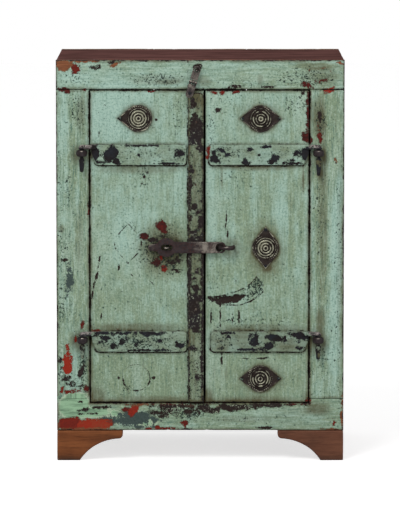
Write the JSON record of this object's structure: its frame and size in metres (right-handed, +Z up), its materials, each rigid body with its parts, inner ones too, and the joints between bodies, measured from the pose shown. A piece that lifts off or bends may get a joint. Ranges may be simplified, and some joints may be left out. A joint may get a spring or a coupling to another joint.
{
  "type": "desktop cabinet with doors",
  "caption": "Small upright wooden cabinet on bracket feet: two flush doors on strap-and-pin hinges, a meeting strip, a swinging hasp with its staple, a top latch and round rosettes.",
  "frame": {"origin": "on the surface the cabinet stands on, under the middle of its overall box", "axes": "+X to the viewer's right along the front, +Y from the front to the back, +Z up"},
  "size_m": [0.4, 0.269, 0.56],
  "materials": {
    "painted_wood": "old mint green paint over red-brown wood, worn, pitted and streaked with grime",
    "stained_wood": "dark red-brown stain, waxed",
    "foot_wood": "orange-brown stain with darker ends",
    "inner_wood": "unpainted sawn board, dry and dusty",
    "painted_iron": "the same paint over forged strap, chipped to dark iron",
    "forged_iron": "dark forged iron, rust-brown in the hollows",
    "rosette_iron": "dark cast iron with rubbed rings",
    "nail_iron": "dull hand-made nails"
  },
  "bodies": {
    "root": {"top_board": "stained_wood", "side_board_left": "stained_wood", "side_board_right": "stained_wood", "floor_board": "inner_wood", "back_plank_1": "inner_wood", "back_plank_2": "inner_wood", "back_plank_3": "inner_wood", "back_nails": "nail_iron", "shelf": "inner_wood", "shelf_cleat_left": "inner_wood", "shelf_cleat_right": "inner_wood", "top_rail": "painted_wood", "bottom_rail": "painted_wood", "stile_left": "painted_wood", "stile_right": "painted_wood", "foot_front_left": "foot_wood", "foot_front_right": "foot_wood", "foot_back_left": "foot_wood", "foot_back_right": "foot_wood", "foot_side_front_left": "foot_wood", "foot_side_front_right": "foot_wood", "foot_side_back_left": "foot_wood", "foot_side_back_right": "foot_wood", "foot_block_front_left": "inner_wood", "foot_block_front_right": "inner_wood", "foot_block_back_left": "inner_wood", "foot_block_back_right": "inner_wood", "hinge_eye_upper_left": "forged_iron", "hinge_eye_upper_right": "forged_iron", "hinge_eye_lower_left": "forged_iron", "hinge_eye_lower_right": "forged_iron", "latch_staple": "forged_iron"},
    "right_door": {"right_door_board": "painted_wood", "right_door_nails": "nail_iron", "hinge_strap_upper_right": "painted_iron", "hinge_strap_lower_right": "painted_iron", "rosette_plate_upper_right": "rosette_iron", "rosette_boss_upper_right": "rosette_iron", "rosette_plate_middle_right": "rosette_iron", "rosette_boss_middle_right": "rosette_iron", "rosette_plate_lower_right": "rosette_iron", "rosette_boss_lower_right": "rosette_iron", "hasp_pivot_staple": "forged_iron"},
    "left_door": {"left_door_board": "painted_wood", "meeting_strip": "painted_wood", "strip_pins": "nail_iron", "left_door_nails": "nail_iron", "hinge_strap_upper_left": "painted_iron", "hinge_strap_lower_left": "painted_iron", "rosette_plate_upper_left": "rosette_iron", "rosette_boss_upper_left": "rosette_iron", "lock_staple": "forged_iron", "latch_leaf": "forged_iron", "latch_pin": "forged_iron"},
    "hasp": {"hasp": "forged_iron"},
    "top_latch": {"latch_strap": "forged_iron"}
  },
  "joints": [
    {"name": "right_door_swing", "type": "hinge", "parent": "root", "child": "right_door", "pos_m": [0.164, -0.12475, 0.429], "axis": [0, 0, 1], "range_deg": [0, 165]},
    {"name": "left_door_swing", "type": "hinge", "parent": "root", "child": "left_door", "pos_m": [-0.164, -0.12475, 0.429], "axis": [0, 0, -1], "range_deg": [0, 150]},
    {"name": "hasp_swing", "type": "hinge", "parent": "right_door", "child": "hasp", "pos_m": [0.0363, -0.12315, 0.30025], "axis": [0, 0, 1], "range_deg": [0, 150]},
    {"name": "latch_swing", "type": "hinge", "parent": "left_door", "child": "top_latch", "pos_m": [-0.0098, -0.12365, 0.5303], "axis": [0.9563, 0, -0.2924], "range_deg": [0, 160]}
  ],
  "couplings": [
    {"joint": "left_door_swing", "follows": "right_door_swing", "ratio": 0.9}
  ]
}
